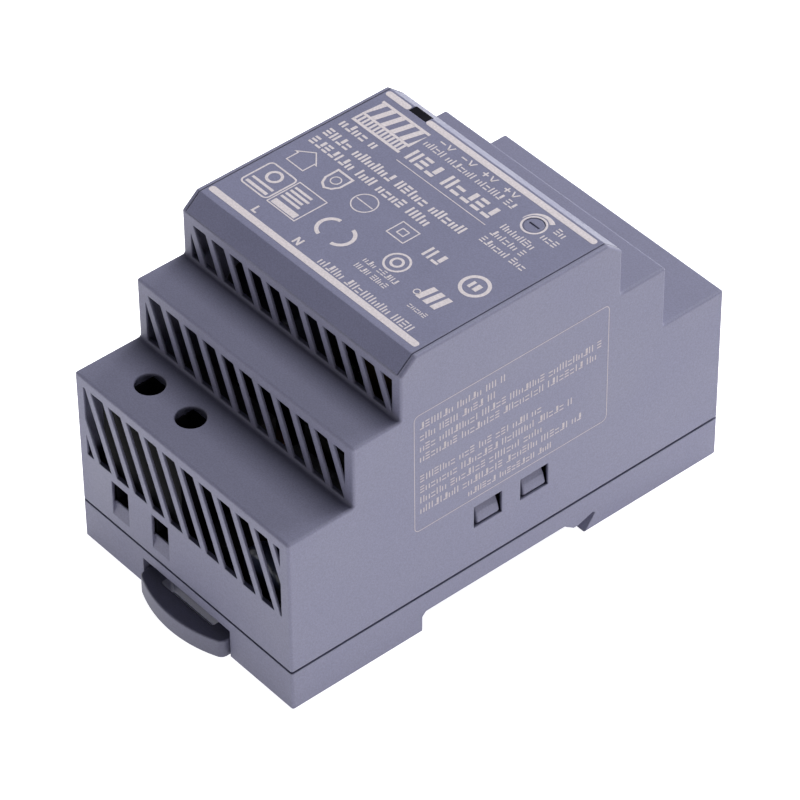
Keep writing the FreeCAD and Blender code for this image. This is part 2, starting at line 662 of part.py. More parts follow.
def write_electronics():
    save("main_circuit_board", main_circuit_board())
    save("control_circuit_board", control_circuit_board())
    save("status_led", status_led())
    save("trimmer_body", trimmer_body())
    save("voltage_adjuster", voltage_adjuster())
    save("fuse", cylinder(5.4, -38.0, on_board(8.5), 4.2))
    save("varistor", disc_part(15.0, -39.5, 5.2, 4.2))
    save("inrush_thermistor", disc_part(15.0, -33.6, 4.8, 3.6))
    save("x_capacitor", rounded_block(10.5, -26.6, 18.0, 7.8, on_board(15.0), 0.6))
    core, windings = choke()
    save("choke_core", core)
    save("choke_windings", windings)
    bridge = rounded_block(8.0, -18.6, 16.0, 3.6, (12.0, 25.0), 0.4)
    legs = [centred_box(8.0 + s, -18.6, 1.0, 0.6, (z_stand, 12.1)) for s in (-6, -2, 2, 6)]
    save("bridge_rectifier", join([bridge] + legs))
    save("bulk_capacitor", radial_capacitor(-13.4, -13.2, 9.0, 33.0))
    save("primary_heatsink", heatsink((20.4, 21.9), (-20.0, 6.0), (z_stand, 42.0), False))
    save("switching_transistor", power_package((15.7, 20.35), (-14.0, -4.0), (20.0, 35.0)))
    core, bobbin, winding = transformer()
    save("transformer_core", core)
    save("transformer_bobbin", bobbin)
    save("transformer_winding", winding)
    save("y_capacitors", Part.makeCompound([disc_part(-16.5, y, 3.2, 2.6) for y in (0.0, 5.5)]))
    save("optocoupler", rounded_block(-16.5, 12.6, 6.4, 4.6, on_board(3.4), 0.3))
    save("controller_chip", box((-2.5, 2.5), (y_control[1] + 0.02, y_control[1] + 1.5), (28.0, 32.0)))
    chips = [box((x, x + 2.0), (y_control[1] + 0.02, y_control[1] + 0.6), (z, z + 1.2))
             for x in (-12.0, -8.0, 6.0, 10.0) for z in (14.0, 24.0, 34.0)]
    save("chip_resistors", Part.makeCompound(chips))
    snubber = cylinder_y(4.5, (-14.6, -6.2), z_board[1] + 2.2, 1.9)
    leads = [cylinder(4.5, y, (z_stand, z_board[1] + 2.2), 0.35) for y in (-14.2, -6.6)]
    save("snubber_resistor", join([snubber] + leads))
    save("secondary_heatsink", heatsink((-20.0, 2.5), (21.6, 23.1), (z_stand, 40.0), True))
    packages = [power_package(x, (23.15, 27.6), (16.0, 31.0)) for x in ((-19.0, -9.0), (-7.5, 2.5))]
    save("output_rectifiers", Part.makeCompound(packages))
    cans = [radial_capacitor(17.5, y, 4.9, 20.0) for y in (24.5, 34.8)]
    save("output_capacitors", Part.makeCompound(cans))
    save("output_choke", rounded_block(8.4, 26.8, 7.2, 7.2, on_board(14.0), 3.4))


os.makedirs("parts", exist_ok=True)
save("upper_housing", upper_housing())
save("front_panel", front_panel())
save("base_housing", base_housing())
save("insulation_sheet", insulation_sheet())
save("led_window", led_window())
save("rail_clip", rail_clip())
save("clip_spring", clip_spring())
write_terminals()
write_electronics()
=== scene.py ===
import json
import math
import random

import bmesh
import bpy
from mathutils import Matrix, Vector


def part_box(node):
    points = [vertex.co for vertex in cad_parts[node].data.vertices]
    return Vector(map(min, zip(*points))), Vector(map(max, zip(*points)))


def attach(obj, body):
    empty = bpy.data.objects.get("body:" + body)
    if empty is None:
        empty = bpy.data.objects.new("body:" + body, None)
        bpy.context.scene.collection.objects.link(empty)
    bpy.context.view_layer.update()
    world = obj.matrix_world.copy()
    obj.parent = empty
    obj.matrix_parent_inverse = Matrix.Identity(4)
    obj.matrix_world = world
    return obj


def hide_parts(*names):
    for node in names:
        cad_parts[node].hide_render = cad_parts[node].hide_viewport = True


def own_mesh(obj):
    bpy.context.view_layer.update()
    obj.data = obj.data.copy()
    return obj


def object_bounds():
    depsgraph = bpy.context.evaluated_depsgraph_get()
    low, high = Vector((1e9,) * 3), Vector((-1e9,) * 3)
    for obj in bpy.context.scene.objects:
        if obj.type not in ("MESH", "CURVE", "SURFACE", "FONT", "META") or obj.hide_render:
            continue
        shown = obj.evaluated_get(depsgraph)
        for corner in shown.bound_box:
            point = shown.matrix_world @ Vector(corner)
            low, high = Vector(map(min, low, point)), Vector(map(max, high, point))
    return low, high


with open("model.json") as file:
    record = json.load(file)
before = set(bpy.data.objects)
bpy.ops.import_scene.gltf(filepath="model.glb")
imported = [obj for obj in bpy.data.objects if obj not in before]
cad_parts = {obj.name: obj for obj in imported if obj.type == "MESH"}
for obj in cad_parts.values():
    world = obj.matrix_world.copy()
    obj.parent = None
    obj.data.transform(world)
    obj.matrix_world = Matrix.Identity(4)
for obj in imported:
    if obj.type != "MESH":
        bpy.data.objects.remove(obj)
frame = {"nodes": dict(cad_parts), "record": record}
cad_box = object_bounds()

MM = 0.001


# ---- places read from the CAD frame, in millimetres ----

def box_mm(node):
    """Lowest and highest corner of a CAD node, in millimetres."""
    low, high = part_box(node)
    return low / MM, high / MM


def middle_mm(node):
    """Middle of a CAD node's box, in millimetres."""
    low, high = box_mm(node)
    return (low + high) / 2


panel_top = box_mm("front_panel")[1].z
side_face = box_mm("upper_housing")[1].x
window_low, window_high = box_mm("led_window")
adjuster = middle_mm("voltage_adjuster")
input_screws = [middle_mm("input_screw_live"), middle_mm("input_screw_neutral")]
output_screws = [middle_mm("output_screw_%d" % i) for i in range(1, 5)]
spring_low, spring_high = box_mm("clip_spring")

# ---- camera: angles in degrees, lengths and the point it looks at in millimetres ----
view_turn = 49.86
view_height = 42.11
view_roll = -0.56
view_distance = 755.0
view_shift = (-0.36, -5.11)
view_centre = Vector((0.0, 0.0, 24.75))
lens = 213.7

# ---- floor: how strongly it glows, and how far inside the object's sides and ends that stops, in mm; the dark patch where it does not glow is painted shade under the object ----
floor_glow = 0.95
painted_shade_inset = (7.0, 2.0)

# ---- printing: how far the ink stands over its face and reaches below it, in millimetres ----
ink_height = 0.02
ink_sunk = 0.02

# ---- distance of the soft boxes from the origin, in metres ----
softbox_distance = 1.2

# ---- signs of the greeked text, as shares of the line's height ----
sign_width = 0.62
sign_gap = 0.2
sign_line = 0.17
low_sign = 0.7
small_signs = ("bars", "low", "dashes", "pair", "low", "post", "stair")
large_signs = ("bars", "dashes", "stair")

# ---- clip spring, in millimetres ----
spring_wire = 0.2
spring_turns = 9

# colour sockets of Blender's Mix node, whose names it gives to other sockets too
mix_first, mix_second, mix_result = 6, 7, 2


# ================= materials =================

class Surface:
    """A Principled material whose colour, roughness and relief come from procedural textures."""

    def __init__(self, name, metallic=0.0, specular=0.5, coat=0.0, transmission=0.0):
        self.material = bpy.data.materials.new(name)
        self.material.use_nodes = True
        self.tree = self.material.node_tree
        self.shader = self.tree.nodes["Principled BSDF"]
        self.shader.inputs["Metallic"].default_value = metallic
        self.shader.inputs["Specular IOR Level"].default_value = specular
        self.shader.inputs["Coat Weight"].default_value = coat
        self.shader.inputs["Coat Roughness"].default_value = 0.12
        self.shader.inputs["Transmission Weight"].default_value = transmission
        self.place = self.tree.nodes.new("ShaderNodeTexCoord").outputs["Object"]
        self.bump = None

    def link(self, out, into):
        self.tree.links.new(out, into)

    def stretched(self, stretch):
        """Object coordinates, scaled along each axis."""
        if stretch == (1, 1, 1):
            return self.place
        node = self.tree.nodes.new("ShaderNodeMapping")
        node.inputs["Scale"].default_value = stretch
        self.link(self.place, node.inputs["Vector"])
        return node.outputs["Vector"]

    def noise(self, size, detail=2.0, stretch=(1, 1, 1), roughness=0.5):
        """Noise from 0 to 1 whose features are about size millimetres."""
        node = self.tree.nodes.new("ShaderNodeTexNoise")
        node.inputs["Scale"].default_value = 1 / (size * MM)
        node.inputs["Detail"].default_value = detail
        node.inputs["Roughness"].default_value = roughness
        self.link(self.stretched(stretch), node.inputs["Vector"])
        return node.outputs["Fac"]

    def bands(self, period, axis, distortion=0.0):
        """Parallel bands with the given period in millimetres along one axis."""
        node = self.tree.nodes.new("ShaderNodeTexWave")
        node.bands_direction = axis
        # at scale 1 the bands are pi / 10 metres apart
        node.inputs["Scale"].default_value = 1 / (period * MM) * math.pi / 10
        node.inputs["Distortion"].default_value = distortion
        self.link(self.place, node.inputs["Vector"])
        return node.outputs["Fac"]

    def cells(self, size):
        """Distance to the edges of random cells about size millimetres across."""
        node = self.tree.nodes.new("ShaderNodeTexVoronoi")
        node.feature = "DISTANCE_TO_EDGE"
        node.inputs["Scale"].default_value = 1 / (size * MM)
        self.link(self.place, node.inputs["Vector"])
        return node.outputs["Distance"]

    def range(self, factor, start, end, low=0.0, high=1.0):
        """low to high as the factor goes from start to end."""
        node = self.tree.nodes.new("ShaderNodeMapRange")
        node.inputs["From Min"].default_value = start
        node.inputs["From Max"].default_value = end
        node.inputs["To Min"].default_value = low
        node.inputs["To Max"].default_value = high
        self.link(factor, node.inputs["Value"])
        return node.outputs["Result"]

    def blend(self, factor, first, second):
        """Mix of two colours, each given as a colour or as another node's output."""
        node = self.tree.nodes.new("ShaderNodeMix")
        node.data_type = "RGBA"
        self.link(factor, node.inputs["Factor"])
        for socket, value in ((node.inputs[mix_first], first), (node.inputs[mix_second], second)):
            if isinstance(value, tuple):
                socket.default_value = (*value, 1.0)
            else:
                self.link(value, socket)
        return node.outputs[mix_result]

    def tint(self, factor, colour, dark, light):
        """The colour times dark to light, as a texture varies."""
        return self.blend(self.range(factor, 0.3, 0.7), shade(colour, dark), shade(colour, light))

    def outside(self, half_x, half_y):
        """1 outside an upright rectangle about the origin, 0 inside."""
        split = self.tree.nodes.new("ShaderNodeSeparateXYZ")
        self.link(self.place, split.inputs["Vector"])
        tests = []
        for axis, half in (("X", half_x), ("Y", half_y)):
            size = self.maths("ABSOLUTE", split.outputs[axis])
            tests.append(self.maths("GREATER_THAN", size, half))
        return self.maths("MAXIMUM", *tests)

    def maths(self, operation, first, second=None):
        """One Math node on one or two values, each a number or another node's output."""
        node = self.tree.nodes.new("ShaderNodeMath")
        node.operation = operation
        for socket, value in zip(node.inputs, (first, second)):
            if isinstance(value, float):
                socket.default_value = value
            elif value:
                self.link(value, socket)
        return node.outputs["Value"]

    def soft_edges(self, radius):
        """Shade the sharp edges as if rounded by radius millimetres; call before relief."""
        node = self.tree.nodes.new("ShaderNodeBevel")
        node.samples = 4
        node.inputs["Radius"].default_value = radius * MM
        self.bump = node.outputs["Normal"]

    def colour(self, out):
        self.link(out, self.shader.inputs["Base Color"])

    def gloss(self, factor, low, high):
        """Roughness that varies from low to high with a texture."""
        self.link(self.range(factor, 0.3, 0.7, low, high), self.shader.inputs["Roughness"])

    def relief(self, factor, depth):
        """Surface relief, depth in millimetres, on top of any softened edges."""
        node = self.tree.nodes.new("ShaderNodeBump")
        node.inputs["Strength"].default_value = 1.0
        node.inputs["Distance"].default_value = depth * MM
        self.link(factor, node.inputs["Height"])
        if self.bump:
            self.link(self.bump, node.inputs["Normal"])
        self.bump = node.outputs["Normal"]
        self.link(self.bump, self.shader.inputs["Normal"])


def shade(colour, factor):
    """The colour times factor."""
    return tuple(min(1.0, c * factor) for c in colour)


def moulded(name, colour, rough=(0.5, 0.62), grain=0.3):
    """Injection moulded plastic with a fine eroded texture and slight flow shading."""
    s = Surface(name, specular=0.42)
    flow = s.noise(14.0, 3.0)
    fine = s.noise(grain, 3.0, roughness=0.65)
    speckle = s.range(s.noise(grain * 0.8, 1.0), 0.32, 0.68)
    base = s.tint(flow, colour, 0.96, 1.04)
    lifted = s.blend(speckle, shade(colour, 0.72), shade(colour, 1.32))
    mix = s.blend(s.range(fine, 0.35, 0.65, 0.18, 0.42), base, lifted)
    s.colour(mix)
    s.gloss(flow, *rough)
    s.soft_edges(0.3)
    s.relief(fine, 0.012)
    return s.material


def plated(name, colour, rough=(0.28, 0.45)):
    """Zinc or tin plating: cloudy colour, fine scratches."""
    s = Surface(name, metallic=1.0)
    cloud = s.noise(1.4, 4.0)
    scratch = s.noise(0.25, 2.0, stretch=(1, 6, 1))
    s.colour(s.tint(cloud, colour, 0.82, 1.1))
    s.gloss(cloud, *rough)
    s.relief(scratch, 0.004)
    return s.material


def dipped(name, colour):
    """Dipped epoxy coating with an uneven orange-peel skin."""
    s = Surface(name, specular=0.25, coat=0.15)
    peel = s.noise(0.9, 2.0)
    s.colour(s.tint(peel, colour, 0.8, 1.15))
    s.gloss(peel, 0.25, 0.45)
    s.relief(peel, 0.06)
    return s.material


def circuit_board(name, colour):
    """Solder mask over copper tracks."""
    s = Surface(name, coat=0.3)
    track = s.range(s.cells(3.2), 0.04, 0.07)
    weave = s.noise(0.5, 2.0)
    mask = s.tint(weave, colour, 0.85, 1.1)
    s.colour(s.blend(track, shade(colour, 1.9), mask))
    s.gloss(weave, 0.3, 0.45)
    s.relief(track, 0.03)
    return s.material


def banded(name, colour, period, depth, metallic=0.0, coat=0.0):
    """A wound, wrapped or extruded surface with parallel ridges, one above the other, with painted shade
    in the grooves between them.
    """
    s = Surface(name, metallic=metallic, coat=coat)
    ridge = s.bands(period, "Z", 0.4)
    cloud = s.noise(2.5, 3.0)
    crest = s.tint(cloud, colour, 0.85, 1.1)
    # painted shade: the colour darkens towards the bottom of each groove
    s.colour(s.blend(s.range(ridge, 0.0, 0.5), shade(colour, 0.55), crest))
    s.gloss(cloud, 0.3, 0.5)
    s.relief(ridge, depth)
    return s.material


def speckled(name, colour, fleck, size=0.35, specular=0.3):
    """Pressed or filled material with small flecks."""
    s = Surface(name, specular=specular)
    grain = s.noise(size, 4.0, roughness=0.7)
    s.colour(s.blend(s.range(grain, 0.45, 0.72), colour, fleck))
    s.gloss(grain, 0.5, 0.7)
    s.relief(grain, 0.02)
    return s.material


def smooth_gloss(name, colour, transmission=0.0):
    """Polished plastic with faint handling marks."""
    s = Surface(name, transmission=transmission)
    smear = s.noise(3.0, 4.0)
    s.colour(s.tint(smear, colour, 1.0, 1.3))
    s.gloss(smear, 0.08, 0.22)
    s.relief(s.noise(0.6, 2.0), 0.002)
    return s.material


def screen_ink(name, colour):
    """Pad printed ink: slightly mottled, thin over the texture below."""
    s = Surface(name, specular=0.3)
    mottle = s.noise(0.35, 3.0, roughness=0.6)
    s.colour(s.tint(mottle, colour, 0.84, 1.1))
    s.gloss(mottle, 0.5, 0.65)
    s.relief(mottle, 0.008)
    return s.material


grey = (0.150, 0.151, 0.230)
panel_grey = (0.142, 0.145, 0.228)

materials = {
    "housing_plastic": moulded("housing_plastic", grey),
    "panel_plastic": moulded("panel_plastic", panel_grey, rough=(0.46, 0.56)),
    "clip_plastic": moulded("clip_plastic", shade(grey, 0.74), rough=(0.42, 0.55)),
    "adjuster_plastic": moulded("adjuster_plastic", panel_grey, rough=(0.42, 0.5), grain=0.2),
    "window_plastic": smooth_gloss("window_plastic", (0.006, 0.006, 0.010)),
    "insulation_film": speckled("insulation_film", (0.62, 0.61, 0.54), (0.72, 0.71, 0.64), size=1.2),
    "terminal_plastic": speckled("terminal_plastic", (0.004, 0.004, 0.006), (0.010, 0.010, 0.013),
                                 specular=0.04),
    "screw_steel": plated("screw_steel", (0.62, 0.61, 0.58)),
    "cage_steel": plated("cage_steel", (0.66, 0.65, 0.60), rough=(0.35, 0.5)),
    "spring_steel": plated("spring_steel", (0.52, 0.52, 0.53), rough=(0.25, 0.35)),
    "tinned_copper": plated("tinned_copper", (0.72, 0.70, 0.66), rough=(0.3, 0.5)),
    "circuit_board": circuit_board("circuit_board", (0.008, 0.035, 0.016)),
    "led_lens": smooth_gloss("led_lens", (0.05, 0.45, 0.10), transmission=0.6),
    "trimmer_plastic": speckled("trimmer_plastic", (0.02, 0.09, 0.32), (0.03, 0.12, 0.38)),
    "component_black": speckled("component_black", (0.008, 0.008, 0.009), (0.02, 0.02, 0.021),
                                specular=0.15),
    "disc_coating": dipped("disc_coating", (0.012, 0.016, 0.035)),
    "thermistor_coating": dipped("thermistor_coating", (0.02, 0.06, 0.03)),
    "film_case": speckled("film_case", (0.045, 0.045, 0.05), (0.08, 0.08, 0.085)),
    "ferrite": speckled("ferrite", (0.03, 0.03, 0.032), (0.06, 0.06, 0.062), size=0.5),
    "copper_winding": banded("copper_winding", (0.22, 0.08, 0.035), 0.7, 0.25, metallic=0.8),
    "winding_tape": banded("winding_tape", (0.045, 0.03, 0.008), 7.0, 0.05, coat=0.4),
    "capacitor_sleeve": dipped("capacitor_sleeve", (0.012, 0.013, 0.02)),
    "heatsink_aluminium": banded("heatsink_aluminium", (0.32, 0.32, 0.33), 0.8, 0.02, metallic=1.0),
    "resistor_body": dipped("resistor_body", (0.28, 0.26, 0.20)),
    "choke_sleeve": speckled("choke_sleeve", (0.014, 0.014, 0.014), (0.03, 0.03, 0.03), size=0.8),
}
ink = screen_ink("screen_ink", (0.54, 0.495, 0.52))
side_ink = screen_ink("side_ink", (0.40, 0.36, 0.385))


def dress_cad_nodes():
    """Give each CAD node the material of its slot."""
    for part in frame["record"]["subparts"]:
        data = frame["nodes"][part["node"]].data
        data.materials.clear()
        data.materials.append(materials[part["material_slot"]])


# ================= printing =================

class Print:
    """Thin raised ink shapes on one flat face. Positions are millimetres on the face."""

    def __init__(self, origin, across, up):
        self.origin = Vector(origin)
        self.across = Vector(across)
        self.up = Vector(up)
        self.out = self.across.cross(self.up)
        self.mesh = bmesh.new()

    def vertex(self, point, height):
        """Mesh point over a place on the face."""
        place = self.origin + self.across * point[0] + self.up * point[1] + self.out * height
        return self.mesh.verts.new(place * MM)

    def solid(self, outline):
        """Closed prism over an outline that runs anticlockwise."""
        low = [self.vertex(p, -ink_sunk) for p in outline]
        high = [self.vertex(p, ink_height) for p in outline]
        self.mesh.faces.new(high)
        self.mesh.faces.new(low[::-1])
        for i in range(len(outline)):
            j = (i + 1) % len(outline)
            self.mesh.faces.new((low[i], low[j], high[j], high[i]))

    def edges(self, inner, outer):
        """The four long edges of a band between two lines: low and high inner, high and low outer."""
        levels = ((inner, -ink_sunk), (inner, ink_height), (outer, ink_height), (outer, -ink_sunk))
        return [[self.vertex(p, h) for p in line] for line, h in levels]

    def loop(self, inner, outer):
        """Closed band between two outlines with the same number of points."""
        rows = self.edges(inner, outer)
        for i in range(len(inner)):
            j = (i + 1) % len(inner)
            for k in range(4):
                a, b = rows[k], rows[(k + 1) % 4]
                self.mesh.faces.new((a[i], b[i], b[j], a[j]))

    def block(self, x0, x1, y0, y1, radius=0.0):
        """Filled box with rounded corners."""
        self.solid(rounded_box(x0, x1, y0, y1, radius))

    def box_line(self, x0, x1, y0, y1, radius, width):
        """Outline of a box with rounded corners; the line lies inside it."""
        inner = rounded_box(x0 + width, x1 - width, y0 + width, y1 - width, max(radius - width, 0.02))
        self.loop(inner, rounded_box(x0, x1, y0, y1, radius))

    def outline(self, points, width):
        """Closed line of the given width inside a convex or concave polygon."""
        self.loop(inset(points, width), points)

    def lean(self, foot, head, low, high):
        """Bar from two places on a low line to two on a high one."""
        self.solid([(foot[0], low), (foot[1], low), (head[1], high), (head[0], high)])

    def ring(self, centre, radius, width, steps=40):
        """Ring whose line lies inside the radius."""
        turns = [2 * math.pi * i / steps for i in range(steps)]
        outer = [(centre[0] + radius * math.cos(t), centre[1] + radius * math.sin(t)) for t in turns]
        hole = radius - width
        inner = [(centre[0] + hole * math.cos(t), centre[1] + hole * math.sin(t)) for t in turns]
        self.loop(inner, outer)

    def arc(self, centre, inner, outer, start, end, steps=24):
        """Band between two radii, each a number or a function of the share of the way round."""
        points = []
        shares = [i / steps for i in range(steps + 1)]
        for radius, order in ((inner, shares), (outer, shares[::-1])):
            for share in order:
                angle = math.radians(start + (end - start) * share)
                r = radius(share) if callable(radius) else radius
                points.append((centre[0] + r * math.cos(angle), centre[1] + r * math.sin(angle)))
        if end > start:
            points.reverse()
        self.strip(points)

    def strip(self, points):
        """Prism over a bent outline whose first half is one side and second half the other."""
        half = len(points) // 2
        rows = self.edges(points[:half], points[half:][::-1])
        for i in range(half - 1):
            for k in range(4):
                a, b = rows[k], rows[(k + 1) % 4]
                self.mesh.faces.new((a[i], a[i + 1], b[i + 1], b[i]))
        self.mesh.faces.new([row[0] for row in rows])
        self.mesh.faces.new([row[-1] for row in rows[::-1]])

    def mark(self, kind, x, y, width, height, line):
        """One abstract sign of a greeked text line, made of plain bars and blocks."""
        top = y + height
        low_top = y + height * low_sign
        if kind == "bars":
            self.block(x, x + line, y, top)
            self.block(x + width - line, x + width, y, top)
        elif kind == "dashes":
            for share in (0.0, 0.5, 1.0):
                level = y + (height - line) * share
                self.block(x, x + width, level, level + line)
        elif kind == "low":
            self.block(x, x + line, y, low_top)
            self.block(x + width - line, x + width, y, low_top)
        elif kind == "pair":
            self.block(x, x + width, y, y + line)
            self.block(x, x + width, low_top - line, low_top)
        elif kind == "stair":
            self.block(x, x + width, y, y + line)
            self.block(x + width / 2, x + width, y + line * 1.5, top)
        else:
            self.block(x + width / 2 - line / 2, x + width / 2 + line / 2, y, top)

    def words(self, x0, x1, y, height, seed, line=None, kinds=small_signs):
        """Greeked text: words of abstract signs from x0 to x1, with no letters in it."""
        dice = random.Random(seed)
        line = line or height * sign_line
        width = height * sign_width
        gap = height * sign_gap
        x = x0
        left = dice.randint(3, 8)
        last = None
        while x + width <= x1 + 0.01:
            kind = dice.choice([k for k in kinds if k != last])
            last = kind
            wide = width * (0.5 if kind == "post" else 1.0)
            self.mark(kind, x, y, wide, height, line)
            x += wide + gap
            left -= 1
            if left == 0:
                x += width * 0.75
                left = dice.randint(3, 9)

    def finish(self, name, material, slot="panel_plastic"):
        """Make the shapes drawn so far one piece, which rides on the housing."""
        bmesh.ops.recalc_face_normals(self.mesh, faces=self.mesh.faces)
        data = bpy.data.meshes.new(name)
        self.mesh.to_mesh(data)
        self.mesh.free()
        data.materials.append(material)
        piece = bpy.data.objects.new(name, data)
        bpy.context.scene.collection.objects.link(piece)
        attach(piece, "housing")


def rounded_box(x0, x1, y0, y1, radius, steps=4):
    """Anticlockwise outline of a box with rounded corners."""
    if radius <= 0:
        return [(x0, y0), (x1, y0), (x1, y1), (x0, y1)]
    points = []
    corners = ((x1 - radius, y0 + radius, -90), (x1 - radius, y1 - radius, 0),
               (x0 + radius, y1 - radius, 90), (x0 + radius, y0 + radius, 180))
    for cx, cy, start in corners:
        for i in range(steps + 1):
            angle = math.radians(start + 90 * i / steps)
            points.append((cx + radius * math.cos(angle), cy + radius * math.sin(angle)))
    return points


def inset(points, width):
    """The outline moved inwards by width; the outline runs anticlockwise."""
    moved = []
    for i, point in enumerate(points):
        here = Vector(point)
        before = (here - Vector(points[i - 1])).normalized()
        after = (Vector(points[(i + 1) % len(points)]) - here).normalized()
        normal = Vector((-before.y - after.y, before.x + after.x))
        normal.normalize()
        reach = width / max(0.3, normal.dot(Vector((-before.y, before.x))))
        moved.append(here + normal * reach)
    return moved


def panel_print():
    """Print on the front panel."""
    return Print((0, 0, panel_top), (1, 0, 0), (0, 1, 0))


def print_stripes():
    """Two long stripes along the panel's chamfers; the light window interrupts the far one."""
    p = panel_print()
    left, right = -25.0, 24.5
    far, near = (17.9, 19.1), (-18.25, -17.0)
    gap = 0.1
    p.block(left, window_low.x - gap, *far, 0.55)
    p.block(window_high.x + gap, right, *far, 0.55)
    p.block(left, right, *near, 0.5)
    p.finish("panel_stripes", ink)


def print_badge():
    """Plain badge: slanted bars between two rails, over a row of small upright bars."""
    p = panel_print()
    x0, x1, y0, y1 = -23.6, -12.2, 9.8, 16.7
    rim = 0.55
    clear = 0.02
    rail_y, half_rail = 12.2, 0.25
    p.block(x0, x1, y0, y0 + rim)
    p.block(x0, x1, rail_y - half_rail, rail_y + half_rail)
    p.block(x0, x1, y1 - rim, y1)

    def within(start, width):
        return max(x0, min(x1, start)), max(x0, min(x1, start + width))

    slanted, bar, lean, shift = 5, 1.1, 0.9, 0.6
    step = (x1 - x0) / slanted
    for i in range(slanted + 1):
        start = x0 + i * step - shift
        p.lean(within(start, bar), within(start + lean, bar),
               rail_y + half_rail + clear, y1 - rim - clear)
    upright, share = 13, 0.55
    step = (x1 - x0) / upright
    for i in range(upright):
        x = x0 + i * step
        p.block(x, x + step * share, y0 + rim + clear, rail_y - half_rail - clear)
    p.finish("panel_badge", ink)


def print_text():
    """Greeked text lines of the panel: left and right end, foot, height and seed of each."""
    p = panel_print()
    p.words(-11.3, 10.7, 14.15, 1.4, 1)
    p.words(-10.8, 10.2, 9.8, 2.9, 2, 0.62, large_signs + ("pair",))
    p.block(-11.1, 10.0, 8.5, 8.65)
    left, height, line = -23.9, 1.9, 0.42
    for seed, (end, y) in enumerate(((-14.9, 7.35), (10.5, 4.05), (4.9, 1.15)), 3):
        p.words(left, end, y, height, seed, line)
    p.words(8.7, 13.9, -3.4, 2.5, 6, 0.5, large_signs)
    p.words(-0.3, 21.6, -16.7, 1.5, 7)
    # beside and below the adjuster
    x = adjuster.x
    p.words(x + 3.2, x + 6.0, 15.2, 1.4, 8)
    p.words(x + 2.8, x + 6.8, 12.8, 1.4, 9)
    for seed, (end, y) in enumerate(((5.0, 9.8), (4.9, 7.7), (6.9, 5.5)), 10):
        p.words(x - 3.1, x + end, y, 1.35, seed)
    # below the round signs
    p.words(4.0, 12.2, -11.2, 1.1, 14)
    p.words(4.0, 12.2, -13.0, 1.1, 15)
    p.words(16.4, 21.0, -12.9, 1.0, 16)
    p.finish("panel_text", ink)


def print_terminal_marks():
    """-V and +V beside the output screws, L and N beside the input screws."""
    p = panel_print()
    size, thin = 0.62, 0.13
    clear = 0.02
    y, letter_shift, half_line = 16.75, 1.75, 0.14
    negative_poles = 2
    for i, screw in enumerate(output_screws):
        x = screw.x - 0.7
        p.block(x - size, x + size, y - thin, y + thin)
        if i >= negative_poles:
            p.block(x - thin, x + thin, y + thin + clear, y + size)
            p.block(x - thin, x + thin, y - size, y - thin - clear)
        foot = x + letter_shift
        for side in (-1, 1):
            head = foot + side * size
            p.lean((foot - half_line, foot + half_line), (head - half_line, head + half_line),
                   y - size, y + size)
    low, high, line = -16.5, -14.85, 0.36
    x = input_screws[0].x - 0.5
    foot = x + 1.1
    p.solid([(x, low), (foot, low), (foot, low + line),
             (x + line, low + line), (x + line, high), (x, high)])
    x = input_screws[1].x - 0.7
    left, right, end = x + line, x + 1.4 - line, x + 1.4
    p.solid([(x, low), (left, low), (left, high - size), (right, low), (end, low),
             (end, high), (right, high), (right, low + size), (left, high), (x, high)])
    p.finish("terminal_marks", ink)


def print_symbols():
    """Plain signs in place of the approval marks."""
    p = panel_print()
    thin = 0.22
    house = [(-22.7, -4.4), (-18.5, -4.4), (-18.5, -2.0), (-17.9, -2.0),
             (-20.6, 0.3), (-23.4, -2.0), (-22.7, -2.0)]
    p.outline(house, thin)
    shield = [(-15.3, -2.6), (-14.6, -3.9), (-13.35, -4.6), (-12.1, -3.9),
              (-11.4, -2.6), (-11.4, 0.3), (-15.3, 0.3)]
    p.outline(shield, 0.4)
    p.ring((-13.35, -1.9), 1.0, thin, 24)
    # ring with a bar across it
    p.ring((-6.2, -2.1), 2.3, thin)
    p.block(-8.1, -4.3, -2.2, -2.0)
    # square in a square
    p.box_line(1.0, 5.1, -4.0, -0.3, 0.1, thin)
    p.box_line(2.2, 3.9, -2.95, -1.4, 0.1, thin)
    # ring round two blocks
    p.ring((19.9, -2.2), 2.6, 0.62)
    p.block(18.9, 19.5, -3.0, -1.4)
    p.block(20.0, 20.9, -3.0, -1.4)
    # field with a ring over two bars
    low, high = -13.2, -6.3
    p.box_line(-23.6, -17.0, low, high, 0.9, 0.3)
    p.ring((-20.3, -8.6), 1.5, 0.5, 30)
    p.block(-22.8, -17.8, -11.2, -10.7)
    p.block(-22.8, -17.8, -12.5, -11.9)
    # field with rows of bars
    p.box_line(-16.8, -10.0, low, high, 0.15, thin)
    left, top, bar, pitch = -16.2, -7.5, 0.5, 0.95
    for i in range(4):
        y = top - pitch * i
        p.block(left, -12.2 + 0.4 * (i % 2), y - bar, y)
    p.block(left, -10.6, -12.8, -11.6)
    # two arcs that face each other
    for x, start in ((-5.0, 90), (-2.7, -90)):
        p.arc((x, -9.9), 1.95, 2.6, start + 8, start + 172)
    # double ring
    p.ring((7.9, -7.5), 2.3, 0.38)
    p.ring((7.9, -7.5), 1.2, 0.45, 24)
    # three slanted bars and a small ring
    for i in range(3):
        x = 15.4 + i * 1.7
        p.lean((x, x + 1.1), (x + 0.5, x + 1.6), -10.4, -7.0)
    p.ring((15.0, -9.6), 0.65, 0.2, 16)
    p.finish("panel_symbols", ink)


def print_adjuster_ring():
    """Ring round the adjuster with a wedge that grows in the turning direction."""
    p = panel_print()
    centre = (adjuster.x, adjuster.y)
    p.ring(centre, 2.2, 0.34, 48)
    p.arc(centre, 2.42, lambda share: 2.5 + 0.8 * share, 185, 50)
    p.finish("adjuster_ring", ink)


